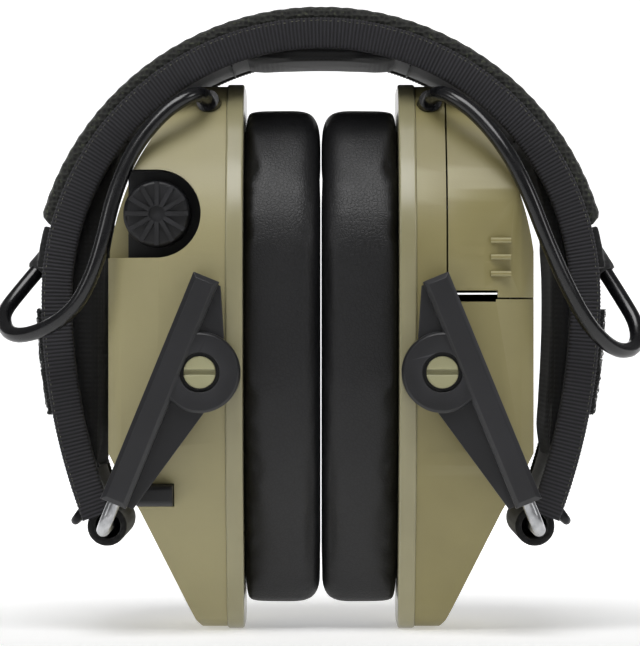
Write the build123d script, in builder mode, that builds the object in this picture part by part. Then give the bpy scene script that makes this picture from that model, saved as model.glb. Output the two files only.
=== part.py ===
from build123d import *
import os
from math import cos, pi, radians, sin, tan

os.makedirs("parts", exist_ok=True)

# An electronic earmuff folded into its headband, standing on the lower ends of its two cups.
# X runs across the head, Y from front to rear, Z up; the origin is on the ground under the middle.

# ---- headband, all layers measured inwards from the band's outer face ----
band_radius = 55.7  # outer face over the crown
band_centre_z = 67.4
side_radius = 125.0  # outer face of the straighter lower sides
band_thickness = 5.5
band_half_width = 26.0
binding_width = 2.0
binding_wrap = 0.4  # how far the tape stands over both faces
crown_angle = 22.0  # the crown ends here, from straight up
band_end_bend = 111.0
layer_gap = 0.05  # between layers of one body
split_gap = 0.05  # degrees left at the flexing line
cover_thickness = 3.2
cover_half_width = band_half_width - 2.0
cover_end_bend = 75.0
under_cover_thickness = 1.8
under_cover_end_bend = 84.0
patch_thickness = 2.2
patch_half_width = band_half_width - 6.0
patch_bends = (91.0, 101.0)
crown_pad_bulge = 2.4
pad_half_width = band_half_width - 3.0
side_pad_start_bend = 50.0
side_pad_end_bend = 108.0
side_pad_bulges = ((62.0, 3.0), (75.0, 5.0), (90.0, 6.3), (100.0, 4.6))
pad_fullness = {"left": 1.0, "right": 0.6}
spring_wire_radius = 0.9
spring_wire_y = band_half_width - 9.0
spring_wire_depth = 2.75
spring_wire_end_bend = 108.0
wire_joint_swell = 0.15
wire_channel_gap = 0.2
hook_reach = 3.3  # the wire's end turn stands this far off the band's outer face

cup_half_width = 41.0  # front to rear, half of the cup; the yoke's sizes follow it
rim_lip = 0.4  # the rim stands this far outside the cup

# ---- yoke: a wire through the band's end loop, with a plastic arm at each end ----
loop_depth = 3.6
loop_bend = 112.3
loop_radius = 4.0
loop_half_width = band_half_width - 2.0
loop_mouth_depth = 9.0
yoke_wire_radius = 1.3
loop_mouth_radius = yoke_wire_radius + 1.4
running_gap = 0.06
yoke_bend_radius = 3.0
yoke_leg_length = 44.0
arm_lean = 22.3  # arm's axis, from vertical
arm_start = 5.8  # along the arm from the loop's axis
arm_end = 54.0
arm_half_width = 2.7
arm_inner_y = cup_half_width + 1.2
arm_outer_y = arm_inner_y + 5.6
yoke_wire_y = (arm_inner_y + arm_outer_y) / 2
arm_chamfer = 0.9
web_outer_y = arm_inner_y + 2.6
hub_inner_y = cup_half_width + rim_lip + 0.5
hub_outer_y = arm_inner_y + 5.0
hub_radius = 8.0
screw_head_radius = 3.2
hub_recess_radius = screw_head_radius + 0.75
hub_recess_depth = 2.2
pivot_along = 36.1  # pivot from the loop's axis, along the arm
pivot_across = 5.9  # and across it, towards the cushions

# ---- pivot screws ----
screw_head_height = 1.6
screw_shank_radius = 1.6
screw_slot = 1.0
screw_end_y = cup_half_width - 6.4
boss_radius = screw_shank_radius + 2.4
boss_inner_y = cup_half_width - 7.0

# ---- cups: distances d run outwards from the middle plane ----
cushion_clearance = 0.15
cushion_thickness = 15.2
rim_start = cushion_clearance + cushion_thickness + 0.15
rim_end = rim_start + 3.5
cup_depth_end = rim_end + 23.3
cup_wall = 2.2
cup_top = 110.4
cup_bottom = rim_lip
cup_top_half_width = 22.0
cup_top_flat_d = rim_end + 5.3  # the top slopes down from here to the outer face
cup_slope_d = cup_depth_end - 7.9
cup_slope_z = 98.2
cup_face_top_z = 76.5  # the flat outer face
cup_face_bottom_z = 36.3
cup_chin_d = cup_depth_end - 6.3
cup_chin_z = 24.6
cup_foot_d = rim_end + 6.3
cup_foot_z = 2.0
cup_toe_d = rim_end + 5.0
cup_plan_flat_d = cup_depth_end - 10.3  # the long sides turn in beyond here
cup_corner_d = cup_depth_end - 2.7
cup_corner_inset = 3.0
cup_face_inset = 6.5
cup_shoulder_z = 86.0
cup_waist_z = 38.0
cup_foot_half_width = 17.0
cushion_inset = 4.6
cushion_wall = 19.0
cushion_edge_radius = 4.5
plate_inset = 9.0
plate_thickness = 3.0
piece_gap = 0.2
vent_count = 4
vent_pitch = 5.4
vent_top_z = 66.0
vent_half_width = 9.0
vent_height = 1.2

# ---- inside the cups ----
liner_inset = 12.0
liner_thickness = 2.2
speaker_radius = 18.0
speaker_z = 55.0
speaker_start = rim_end + 2.6
speaker_depth = 5.5
board_start = rim_end + 10.0
board_thickness = 1.4
board_half_width = 22.0
board_z = (24.0, 64.0)
chip_count = 4
chip_size = 5.0
chip_length = 7.0
chip_pitch = 9.0
chip_first_y = -14.0
chip_first_z = 34.0
chip_step_z = 4.0
chip_height = 1.5
mic_radius = 3.0
mic_length = 2.4

# ---- volume knob, left cup ----
knob_z = 83.9
knob_radius = 6.7
knob_front_y = cup_half_width - 3.4
knob_rear_y = knob_front_y - 8.0
knob_cap = 1.5  # solid disc under the ribs
knob_edge_radius = 1.0
knob_rib_count = 12
knob_rib_height = 0.9
knob_rib_width = 0.9
knob_rib_inner = 1.6
pocket_radius = knob_radius + 2.1
knob_d = rim_end + liner_thickness + cup_wall + pocket_radius + 0.4  # the recess clears the liner
pocket_floor_y = knob_rear_y - 2.6
control_shaft_radius = 2.0
control_size = 7.6
control_depth = 7.0

# ---- audio socket, left cup ----
socket_d = (rim_end + 10.4, rim_end + 17.6)
socket_z = (25.8, 30.1)
socket_y = (cup_half_width - 10.5, cup_half_width - 2.4)
socket_edge_radius = 1.2
socket_bore_radius = 1.8
socket_bore_length = 6.0
scoop_radius = 3.4
scoop_y = cup_half_width - 4.5
scoop_foot_d = rim_end + 6.6
scoop_head_d = rim_end + 15.6

# ---- battery door, right cup ----
door_seam_d = rim_end + 5.8
door_bottom_z = 68.3
door_gap = 0.35
door_tab_drop = 1.4
door_tab_start_d = rim_end + 15.6
door_tab_inner_y = cup_half_width - 7.5
door_slot_height = 1.9
door_slot_inner_y = cup_half_width - 11.0
grip_rib_count = 3
grip_rib_pitch = 3.3
grip_rib_d = (rim_end + 14.6, rim_end + 18.6)
grip_rib_inner_y = cup_half_width - 11.0
grip_rib_edge_radius = 0.4
grip_rib_z = 71.4
grip_rib_height = 1.1
door_pin_radius = 0.8
door_pin_d = rim_end + 8.1
door_pin_drop = 6.6
door_pin_half_length = 13.0
door_lug_half_width = 5.6
door_lug_radius = 1.7
battery_radius = 5.25
battery_half_length = 22.25
battery_places = ((rim_end + 14.4, 78.6), (rim_end + 10.7, 90.2))
battery_nub_radius = 1.9
battery_nub = 1.0
contact_radius = 3.5
contact_thickness = 0.5

# ---- cables ----
cable_radius = 1.55
gland_radius = 2.3
gland_inner_length = 4.0
tunnel_radius = 2.3
tunnel_length = 5.0
left_cable_route = [
    (-22.8, -25.4, 106.9), (-23.6, -29.2, 108.2), (-26.6, -32.4, 107.4), (-31.6, -33.8, 104.0),
    (-37.4, -34.3, 96.8), (-41.1, -34.9, 87.6), (-43.0, -35.1, 79.2), (-45.2, -35.1, 71.6),
    (-49.0, -34.3, 64.6), (-55.6, -32.4, 60.4), (-62.2, -28.8, 59.4), (-64.4, -23.6, 63.6),
    (-61.2, -19.4, 68.2), (-57.6, -17.0, 72.6),
]
right_cable_route = [
    (22.0, -25.5, 106.9), (22.7, -29.3, 108.4), (26.2, -33.0, 107.4), (31.4, -35.2, 103.4),
    (36.9, -37.6, 96.4), (41.1, -38.8, 88.0), (44.4, -37.8, 79.2), (48.6, -35.6, 69.6),
    (53.0, -33.4, 61.6), (58.4, -30.6, 56.6), (63.2, -26.6, 56.8), (63.9, -22.0, 61.6),
    (60.8, -18.8, 67.2), (57.6, -17.0, 72.4),
]
cable_routes = {"left": left_cable_route, "right": right_cable_route}

side_signs = (("left", -1), ("right", 1))


def write(piece, name):
    piece.part.label = name
    export_step(piece.part, "parts/" + name + ".step")


def band_point(s, depth, bend):
    """A point of the band at a depth below its outer face, bend degrees round from the top."""
    if bend <= 90:
        reach = band_radius - depth
        return (s * reach * sin(radians(bend)), band_centre_z + reach * cos(radians(bend)))
    reach = side_radius - depth
    below = radians(bend - 90)
    return (s * (reach * cos(below) - side_radius + band_radius), band_centre_z - reach * sin(below))


def band_strip(s, outer_depth, inner_depth, start, end):
    """The side view of one layer of the band, between two bends."""
    stops = [start, 90, end] if start < 90 < end else [start, end]
    with BuildSketch() as strip:
        with BuildLine():
            for depth in (outer_depth, inner_depth):
                for a, b in zip(stops, stops[1:]):
                    middle = band_point(s, depth, (a + b) / 2)
                    ThreePointArc(band_point(s, depth, a), middle, band_point(s, depth, b))
            for bend in (start, end):
                Line(band_point(s, outer_depth, bend), band_point(s, inner_depth, bend))
        make_face()
    return strip.sketch


def spring_wire(s, radius):
    """One side's spring wire: two runs in the band and the end turn that joins them."""
    start, end = crown_angle + split_gap, spring_wire_end_bend
    outside = band_point(s, -hook_reach + spring_wire_radius, loop_bend - 1.5)
    last = band_point(s, spring_wire_depth, end)
    elbow = band_point(s, spring_wire_depth, end + 1.2)
    with BuildPart() as wire:
        for y in (-spring_wire_y, spring_wire_y):
            with BuildLine() as run:
                for a, b in ((start, 90), (90, end)):
                    ends = [band_point(s, spring_wire_depth, bend) for bend in (a, (a + b) / 2, b)]
                    ThreePointArc(*[(x, y, z) for x, z in ends])
            first = band_point(s, spring_wire_depth, start)
            away = Vector(cos(radians(start)) * s, 0, -sin(radians(start)))
            with BuildSketch(Plane(origin=(first[0], y, first[1]), z_dir=away)):
                Circle(radius)
            sweep(path=run.wire())
        with BuildLine() as turn:
            FilletPolyline(
                (last[0], -spring_wire_y, last[1]), (elbow[0], -spring_wire_y, elbow[1]),
                (outside[0], -spring_wire_y, outside[1]), (outside[0], spring_wire_y, outside[1]),
                (elbow[0], spring_wire_y, elbow[1]), (last[0], spring_wire_y, last[1]),
                radius=[1.2, 2.0, 2.0, 1.2],
            )
        toward = Vector(elbow[0] - last[0], 0, elbow[1] - last[1])
        with BuildSketch(Plane(origin=(last[0], -spring_wire_y, last[1]), z_dir=toward)):
            Circle(radius)
        sweep(path=turn.wire())
        with Locations(*[(last[0], y, last[1]) for y in (-spring_wire_y, spring_wire_y)]):
            Sphere(radius + wire_joint_swell)
    return wire.part


def cup_outline(inset):
    """The cup seen from the side (Y, Z), shrunk all round by inset."""
    with BuildSketch() as outline:
        with BuildLine():
            FilletPolyline(
                (-cup_foot_half_width, cup_bottom), (cup_foot_half_width, cup_bottom),
                (cup_half_width, cup_waist_z), (cup_half_width, cup_shoulder_z),
                (cup_top_half_width, cup_top), (-cup_top_half_width, cup_top),
                (-cup_half_width, cup_shoulder_z), (-cup_half_width, cup_waist_z),
                radius=[14, 14, 60, 34, 26, 26, 34, 60], close=True,
            )
        make_face()
        if inset:
            offset(amount=-inset)
    return outline.sketch


def cup_body(s, inset, start):
    """A solid cup from d = start to its outer face, shrunk by inset."""
    with BuildPart() as body:
        with BuildSketch(Plane.YZ.offset(s * start)):
            add(cup_outline(inset))
        extrude(amount=s * (cup_depth_end - start))
        with BuildSketch(Plane.XZ) as profile:
            with BuildLine():
                Polyline((s * 10, cup_top), (s * cup_top_flat_d, cup_top))
                ThreePointArc(
                    (s * cup_top_flat_d, cup_top), (s * cup_slope_d, cup_slope_z),
                    (s * cup_depth_end, cup_face_top_z),
                )
                Polyline(
                    (s * cup_depth_end, cup_face_top_z), (s * cup_depth_end, cup_face_bottom_z),
                    (s * cup_chin_d, cup_chin_z), (s * cup_foot_d, cup_foot_z),
                    (s * cup_toe_d, cup_bottom), (s * 10, cup_bottom), (s * 10, cup_top),
                )
            make_face()
            if inset:
                offset(amount=-inset)
        extrude(amount=cup_half_width + 1, both=True, mode=Mode.INTERSECT)
        with BuildSketch(Plane.XY) as plan:
            with BuildLine():
                Polyline(
                    (s * 10, cup_half_width), (s * cup_plan_flat_d, cup_half_width),
                    (s * cup_corner_d, cup_half_width - cup_corner_inset),
                    (s * cup_depth_end, cup_half_width - cup_face_inset),
                    (s * cup_depth_end, cup_face_inset - cup_half_width),
                    (s * cup_corner_d, cup_corner_inset - cup_half_width),
                    (s * cup_plan_flat_d, -cup_half_width),
                    (s * 10, -cup_half_width), (s * 10, cup_half_width),
                )
            make_face()
            if inset:
                offset(amount=-inset)
        extrude(amount=cup_top, mode=Mode.INTERSECT)
    return body.part


def slab(s, d, y, z):
    """A box between two distances from the middle plane, two Y and two Z."""
    with BuildPart() as block:
        with BuildSketch(Plane.XY.offset(z[0])):
            with Locations((s * (d[0] + d[1]) / 2, (y[0] + y[1]) / 2)):
                Rectangle(d[1] - d[0], y[1] - y[0])
        extrude(amount=z[1] - z[0])
    return block.part


def rod(centre, direction, radius, length):
    """A round bar that starts at centre and runs along direction."""
    with BuildPart() as bar:
        with BuildSketch(Plane(origin=centre, z_dir=direction)):
            Circle(radius)
        extrude(amount=length)
    return bar.part


def knob_pocket(grow, floor_y):
    """The open-sided round recess around the volume knob."""
    with BuildPart() as pocket:
        with BuildSketch(Plane.XZ.offset(floor_y)):
            with Locations((-knob_d, knob_z)):
                Circle(pocket_radius + grow)
            with Locations((-knob_d - 10, knob_z)):
                Rectangle(20, 2 * (pocket_radius + grow))
        extrude(amount=cup_half_width + 2 - floor_y)
    return pocket.part


def pocket_lining(s):
    """The wall behind the volume knob's recess, kept inside the cup's outer form."""
    with BuildPart() as lining:
        add(knob_pocket(cup_wall, pocket_floor_y - cup_wall))
        add(cup_body(s, 0, rim_end), mode=Mode.INTERSECT)
    return lining.part


def grip_rib(low):
    """One raised grip rib of the battery door."""
    with BuildPart() as rib:
        add(slab(1, grip_rib_d, (-cup_half_width, -grip_rib_inner_y), (low, low + grip_rib_height)))
        fillet(rib.edges().filter_by(Axis.X), grip_rib_edge_radius)
    return rib.part


# ---- the crown of the headband ----
channel = spring_wire_radius + wire_channel_gap
channel_depths = (spring_wire_depth - channel, spring_wire_depth + channel)

with BuildPart() as crown_core:
    with BuildSketch(Plane.XZ):
        add(band_strip(1, 0, band_thickness, -crown_angle, crown_angle))
    extrude(amount=band_half_width, both=True)
    with BuildSketch(Plane.XZ.offset(-spring_wire_y)):
        add(band_strip(1, *channel_depths, -crown_angle, crown_angle))
    extrude(amount=channel, both=True, mode=Mode.SUBTRACT)
    with BuildSketch(Plane.XZ.offset(spring_wire_y)):
        add(band_strip(1, *channel_depths, -crown_angle, crown_angle))
    extrude(amount=channel, both=True, mode=Mode.SUBTRACT)
write(crown_core, "crown_core")

with BuildPart() as crown_cover:
    with BuildSketch(Plane.XZ):
        add(band_strip(1, -cover_thickness, -layer_gap, -crown_angle, crown_angle))
    extrude(amount=cover_half_width, both=True)
write(crown_cover, "crown_outer_pad")

with BuildPart() as crown_pad:
    under = band_thickness + layer_gap
    with BuildSketch(Plane.XZ):
        with BuildLine():
            pad_ends = [band_point(1, under, bend) for bend in (-crown_angle, 0, crown_angle)]
            ThreePointArc(*pad_ends)
            lowest = band_point(1, under + crown_pad_bulge, 0)
            ThreePointArc(pad_ends[0], lowest, pad_ends[2])
        make_face()
    extrude(amount=pad_half_width, both=True)
write(crown_pad, "crown_inner_pad")

for place, sign in (("front", -1), ("rear", 1)):
    with BuildPart() as crown_binding:
        with BuildSketch(Plane.XZ.offset(-sign * (band_half_width + layer_gap))):
            add(band_strip(1, -binding_wrap, band_thickness + binding_wrap, -crown_angle, crown_angle))
        extrude(amount=-sign * binding_width)
    write(crown_binding, "crown_binding_" + place)

with BuildPart() as crown_wires:
    for y in (-spring_wire_y, spring_wire_y):
        with BuildLine() as run:
            ends = [band_point(1, spring_wire_depth, bend) for bend in (-crown_angle, 0, crown_angle)]
            ThreePointArc(*[(x, y, z) for x, z in ends])
        tip = band_point(1, spring_wire_depth, -crown_angle)
        along = Vector(cos(radians(crown_angle)), 0, sin(radians(crown_angle)))
        with BuildSketch(Plane(origin=(tip[0], y, tip[1]), z_dir=along)):
            Circle(spring_wire_radius)
        sweep(path=run.wire())
write(crown_wires, "crown_spring_wires")

# ---- the two sides: band halves, yokes and cups ----
for side, s in side_signs:
    first_bend = crown_angle + split_gap
    loop_x, loop_z = band_point(s, loop_depth, loop_bend)
    up = Vector(-s * sin(radians(arm_lean)), 0, cos(radians(arm_lean)))
    inboard = Vector(-s * cos(radians(arm_lean)), 0, -sin(radians(arm_lean)))
    loop_axis = Vector(loop_x, 0, loop_z)
    pivot = loop_axis + up * pivot_along + inboard * pivot_across
    route = cable_routes[side]
    gland_direction = Vector(*route[1]) - Vector(*route[0])
    tunnel_direction = Vector(*route[-1]) - Vector(*route[-2])

    # band side
    with BuildPart() as side_core:
        with BuildSketch(Plane.XZ):
            add(band_strip(s, 0, band_thickness, first_bend, band_end_bend))
        extrude(amount=band_half_width, both=True)
        with BuildSketch(Plane.XZ):
            with Locations((loop_x, loop_z)):
                Circle(loop_radius + layer_gap)
        extrude(amount=band_half_width + 1, both=True, mode=Mode.SUBTRACT)
        add(spring_wire(s, spring_wire_radius + wire_channel_gap), mode=Mode.SUBTRACT)
    write(side_core, side + "_band_core")

    with BuildPart() as side_wire:
        add(spring_wire(s, spring_wire_radius))
    write(side_wire, side + "_spring_wire")

    with BuildPart() as side_cover:
        with BuildSketch(Plane.XZ):
            add(band_strip(s, -cover_thickness, -layer_gap, first_bend, cover_end_bend))
        extrude(amount=cover_half_width, both=True)
    write(side_cover, side + "_outer_pad")

    with BuildPart() as under_cover:
        with BuildSketch(Plane.XZ):
            add(band_strip(s, -under_cover_thickness, -layer_gap, cover_end_bend + 0.5, under_cover_end_bend))
        extrude(amount=cover_half_width, both=True)
        add(rod(route[-1], tunnel_direction, tunnel_radius, tunnel_length))
        with BuildSketch(Plane.XZ):
            add(band_strip(s, -layer_gap, 12, cover_end_bend - 12, under_cover_end_bend + 12))
        extrude(amount=band_half_width, both=True, mode=Mode.SUBTRACT)
    write(under_cover, side + "_under_cover")

    with BuildPart() as patch:
        with BuildSketch(Plane.XZ):
            add(band_strip(s, -patch_thickness, -layer_gap, *patch_bends))
        extrude(amount=patch_half_width, both=True)
    write(patch, side + "_hook_patch")

    with BuildPart() as side_pad:
        under = band_thickness + layer_gap
        with BuildSketch(Plane.XZ):
            add(band_strip(s, under, under + 12, side_pad_start_bend, side_pad_end_bend))
        extrude(amount=pad_half_width, both=True)
        with BuildSketch(Plane.XZ):
            with BuildLine():
                face = [band_point(s, under, side_pad_start_bend)]
                for bend, bulge in side_pad_bulges:
                    face.append(band_point(s, under + bulge * pad_fullness[side], bend))
                face.append(band_point(s, under, side_pad_end_bend))
                Spline(*face)
                Polyline(
                    face[-1], band_point(s, -10, side_pad_end_bend + 4), (s * 80, 70),
                    band_point(s, -10, side_pad_start_bend - 4), face[0],
                )
            make_face()
        extrude(amount=pad_half_width, both=True, mode=Mode.INTERSECT)
    write(side_pad, side + "_inner_pad")

    for place, sign in (("front", -1), ("rear", 1)):
        with BuildPart() as binding:
            with BuildSketch(Plane.XZ.offset(-sign * (band_half_width + layer_gap))):
                add(band_strip(s, -binding_wrap, band_thickness + binding_wrap, first_bend, band_end_bend))
                with Locations((loop_x, loop_z)):
                    Circle(loop_radius + layer_gap, mode=Mode.SUBTRACT)
            extrude(amount=-sign * binding_width)
        write(binding, side + "_binding_" + place)

    with BuildPart() as end_loop:
        with BuildSketch(Plane.XZ):
            with Locations((loop_x, loop_z)):
                Circle(loop_radius)
                Circle(yoke_wire_radius + running_gap, mode=Mode.SUBTRACT)
        extrude(amount=loop_half_width, both=True)
        for sign in (-1, 1):
            with BuildSketch(Plane.XZ.offset(sign * loop_half_width)):
                with Locations((loop_x, loop_z)):
                    Circle(loop_mouth_radius)
            extrude(amount=-sign * loop_mouth_depth, mode=Mode.SUBTRACT)
        add(spring_wire(s, spring_wire_radius + wire_channel_gap), mode=Mode.SUBTRACT)
    write(end_loop, side + "_end_loop")

    # yoke
    leg_tip = loop_axis + up * yoke_leg_length
    with BuildPart() as yoke_wire:
        with BuildLine() as bent:
            FilletPolyline(
                (leg_tip.X, -yoke_wire_y, leg_tip.Z), (loop_x, -yoke_wire_y, loop_z),
                (loop_x, yoke_wire_y, loop_z), (leg_tip.X, yoke_wire_y, leg_tip.Z),
                radius=yoke_bend_radius,
            )
        with BuildSketch(Plane(origin=(leg_tip.X, -yoke_wire_y, leg_tip.Z), z_dir=-up)):
            Circle(yoke_wire_radius)
        sweep(path=bent.wire())
    write(yoke_wire, side + "_yoke_wire")

    arm_plane = Plane(origin=(loop_x, -arm_inner_y, loop_z), x_dir=up, z_dir=(0, -1, 0))
    with BuildPart() as front_arm:
        with BuildSketch(arm_plane):
            with Locations(((arm_start + arm_end) / 2, 0)):
                Rectangle(arm_end - arm_start, 2 * arm_half_width)
        extrude(amount=arm_outer_y - arm_inner_y)
        chamfer(front_arm.faces().sort_by(Axis.Y)[0].edges(), arm_chamfer)
        with BuildSketch(arm_plane):
            Polygon(
                (arm_start + 0.4, 0), (arm_start + 0.4, s * 4.0), (pivot_along - 6.6, s * 9.8),
                (pivot_along + 8.1, s * 7.7), (arm_end - 0.6, s * 3.2), (arm_end - 0.6, 0), align=None,
            )
        extrude(amount=web_outer_y - arm_inner_y)
        with BuildSketch(arm_plane.offset(hub_inner_y - arm_inner_y)):
            with Locations((pivot_along, s * pivot_across)):
                Circle(hub_radius)
        extrude(amount=hub_outer_y - hub_inner_y)
        hub_rim = front_arm.edges().filter_by(GeomType.CIRCLE).sort_by(Axis.Y)[0]
        chamfer(hub_rim, 0.5)
        with BuildSketch(arm_plane.offset(hub_outer_y - arm_inner_y)):
            with Locations((pivot_along, s * pivot_across)):
                Circle(hub_recess_radius)
        extrude(amount=-hub_recess_depth, mode=Mode.SUBTRACT)
        with BuildSketch(arm_plane.offset(hub_inner_y - arm_inner_y)):
            with Locations((pivot_along, s * pivot_across)):
                Circle(screw_shank_radius + running_gap)
        extrude(amount=hub_outer_y - hub_inner_y, mode=Mode.SUBTRACT)
        bore_start = (loop_x, -yoke_wire_y, loop_z)
        add(rod(bore_start, up, yoke_wire_radius + running_gap, yoke_leg_length + 1), mode=Mode.SUBTRACT)
    write(front_arm, side + "_front_arm")

    with BuildPart() as rear_arm:
        mirror(front_arm.part, about=Plane.XZ)
    write(rear_arm, side + "_rear_arm")

    # cup
    with BuildPart() as shell:
        add(cup_body(s, 0, rim_end))
        add(cup_body(s, cup_wall, rim_end - 2), mode=Mode.SUBTRACT)
        for sign in (-1, 1):
            add(rod((pivot.X, sign * boss_inner_y, pivot.Z), (0, sign, 0), boss_radius, 5.8))
        if side == "left":
            add(pocket_lining(s))
            add(knob_pocket(0, pocket_floor_y), mode=Mode.SUBTRACT)
            shaft_hole = (-knob_d, -pocket_floor_y - 1, knob_z)
            add(rod(shaft_hole, (0, 1, 0), control_shaft_radius + running_gap, 5), mode=Mode.SUBTRACT)
            socket_box = (socket_d[0] - piece_gap, cup_depth_end), (-cup_half_width, piece_gap - socket_y[0])
            socket_heights = (socket_z[0] - piece_gap, socket_z[1] + piece_gap)
            add(slab(s, *socket_box, socket_heights), mode=Mode.SUBTRACT)
            scoop_foot = (-scoop_foot_d, -scoop_y - 2.0, cup_foot_z)
            scoop_head = Vector(-scoop_head_d, -scoop_y, socket_z[0])
            scoop_run = scoop_head - Vector(*scoop_foot)
            add(rod(scoop_foot, scoop_run, scoop_radius, scoop_run.length), mode=Mode.SUBTRACT)
        else:
            opening = (door_seam_d, cup_depth_end + 1), (-cup_half_width - 1, cup_half_width + 1)
            add(slab(s, *opening, (door_bottom_z, cup_top + 1)), mode=Mode.SUBTRACT)
            slot = (door_seam_d, door_tab_start_d), (-cup_half_width - 1, -door_slot_inner_y)
            add(slab(s, *slot, (door_bottom_z - door_slot_height, cup_top)), mode=Mode.SUBTRACT)
            tab = (door_tab_start_d, cup_depth_end + 1), (-cup_half_width - 1, -door_tab_inner_y)
            add(slab(s, *tab, (door_bottom_z - door_tab_drop, cup_top)), mode=Mode.SUBTRACT)
        for sign in (-1, 1):
            hole_foot = (pivot.X, sign * (boss_inner_y - 4.0), pivot.Z)
            hole_radius = screw_shank_radius + running_gap
            hole_length = cup_half_width - boss_inner_y + 7.0
            add(rod(hole_foot, (0, sign, 0), hole_radius, hole_length), mode=Mode.SUBTRACT)
        for k in range(vent_count):
            middle = vent_top_z - k * vent_pitch
            vent = (cup_depth_end - cup_wall - 1, cup_depth_end + 1), (-vent_half_width, vent_half_width)
            add(slab(s, *vent, (middle - vent_height / 2, middle + vent_height / 2)), mode=Mode.SUBTRACT)
        gland_inner = Vector(*route[0]) - gland_direction.normalized() * gland_inner_length
        gland_hole = gland_radius + layer_gap
        add(rod(gland_inner, gland_direction, gland_hole, gland_inner_length + 3), mode=Mode.SUBTRACT)
    write(shell, side + "_cup_shell")

    with BuildPart() as gland:
        add(rod(gland_inner, gland_direction, gland_radius, gland_inner_length))
    write(gland, side + "_cable_gland")

    with BuildPart() as rim:
        with BuildSketch(Plane.YZ.offset(s * rim_start)):
            add(cup_outline(-rim_lip))
            add(cup_outline(plate_inset), mode=Mode.SUBTRACT)
        extrude(amount=s * (rim_end - rim_start))
    write(rim, side + "_cup_rim")

    with BuildPart() as plate:
        with BuildSketch(Plane.YZ.offset(s * rim_start)):
            add(cup_outline(plate_inset + piece_gap))
            add(cup_outline(cushion_inset + cushion_wall), mode=Mode.SUBTRACT)
        extrude(amount=s * plate_thickness)
    write(plate, side + "_cushion_plate")

    with BuildPart() as cushion:
        with BuildSketch(Plane.YZ.offset(s * cushion_clearance)):
            add(cup_outline(cushion_inset))
            add(cup_outline(cushion_inset + cushion_wall), mode=Mode.SUBTRACT)
        extrude(amount=s * cushion_thickness)
        inner_face = cushion.faces().filter_by(Axis.X).sort_by(Axis.X)[-1 if s < 0 else 0]
        fillet(inner_face.outer_wire().edges(), cushion_edge_radius)
    write(cushion, side + "_ear_cushion")

    with BuildPart() as liner:
        with BuildSketch(Plane.YZ.offset(s * (rim_end + layer_gap))):
            add(cup_outline(liner_inset))
        extrude(amount=s * liner_thickness)
    write(liner, side + "_foam_liner")

    with BuildPart() as speaker:
        add(rod((s * speaker_start, 0, speaker_z), (s, 0, 0), speaker_radius, speaker_depth / 2))
        add(rod((s * speaker_start, 0, speaker_z), (s, 0, 0), speaker_radius / 2, speaker_depth))
    write(speaker, side + "_speaker")

    with BuildPart() as board:
        board_d = (board_start, board_start + board_thickness)
        add(slab(s, board_d, (-board_half_width, board_half_width), board_z))
        for k in range(chip_count):
            chip_d = (board_d[1], board_d[1] + chip_height * (1 + k % 2 / 3))
            chip_y = chip_first_y + chip_pitch * k
            chip_z = chip_first_z + chip_step_z * (k % 3)
            add(slab(s, chip_d, (chip_y, chip_y + chip_size), (chip_z, chip_z + chip_length)))
    write(board, side + "_circuit_board")

    with BuildPart() as microphone:
        mic_z = vent_top_z - vent_pitch * (vent_count - 1) / 2
        mic_face = (s * (cup_depth_end - cup_wall - layer_gap), 0, mic_z)
        add(rod(mic_face, (-s, 0, 0), mic_radius, mic_length))
    write(microphone, side + "_microphone")

    with BuildPart() as screws:
        for sign in (-1, 1):
            seat_y = sign * (hub_outer_y - hub_recess_depth + layer_gap)
            head = (pivot.X, seat_y, pivot.Z)
            add(rod(head, (0, sign, 0), screw_head_radius, screw_head_height))
            tip_y = sign * screw_end_y
            add(rod((pivot.X, tip_y, pivot.Z), (0, sign, 0), screw_shank_radius, abs(seat_y) - screw_end_y))
            slot_y = seat_y + sign * (screw_head_height - 0.4)
            slot_box = sorted((slot_y - 0.4 * sign, slot_y + 1.0 * sign))
            slot_d = (abs(pivot.X) - 4, abs(pivot.X) + 4)
            slot_z = (pivot.Z - screw_slot / 2, pivot.Z + screw_slot / 2)
            add(slab(s, slot_d, slot_box, slot_z), mode=Mode.SUBTRACT)
    write(screws, side + "_pivot_screws")

    # cable
    turns = []
    radii = []
    points = [Vector(*p) for p in route]
    for before, corner, after in zip(points, points[1:], points[2:]):
        turn = (corner - before).get_angle(after - corner)
        shorter = min((corner - before).length, (after - corner).length)
        turns.append(turn)
        radii.append(0.45 * shorter / tan(radians(turn) / 2))
    with BuildPart() as cable:
        with BuildLine() as path:
            FilletPolyline(*route, radius=radii)
        with BuildSketch(Plane(origin=route[0], z_dir=gland_direction)):
            Circle(cable_radius)
        sweep(path=path.wire())
    write(cable, side + "_cable")
    cable_length = path.wire().length
    expected = cable_length * pi * cable_radius**2
    ratio = round(cable.part.volume / expected, 4)
    print(side, "cable length", round(cable_length, 1), "volume ratio", ratio)
    print(side, "cable bend radii", [round(r, 1) for r in radii], "turns", [round(t) for t in turns])
    print(side, "loop axis", round(loop_x, 3), round(loop_z, 3))
    print(side, "pivot", round(pivot.X, 3), round(pivot.Z, 3))

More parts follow.
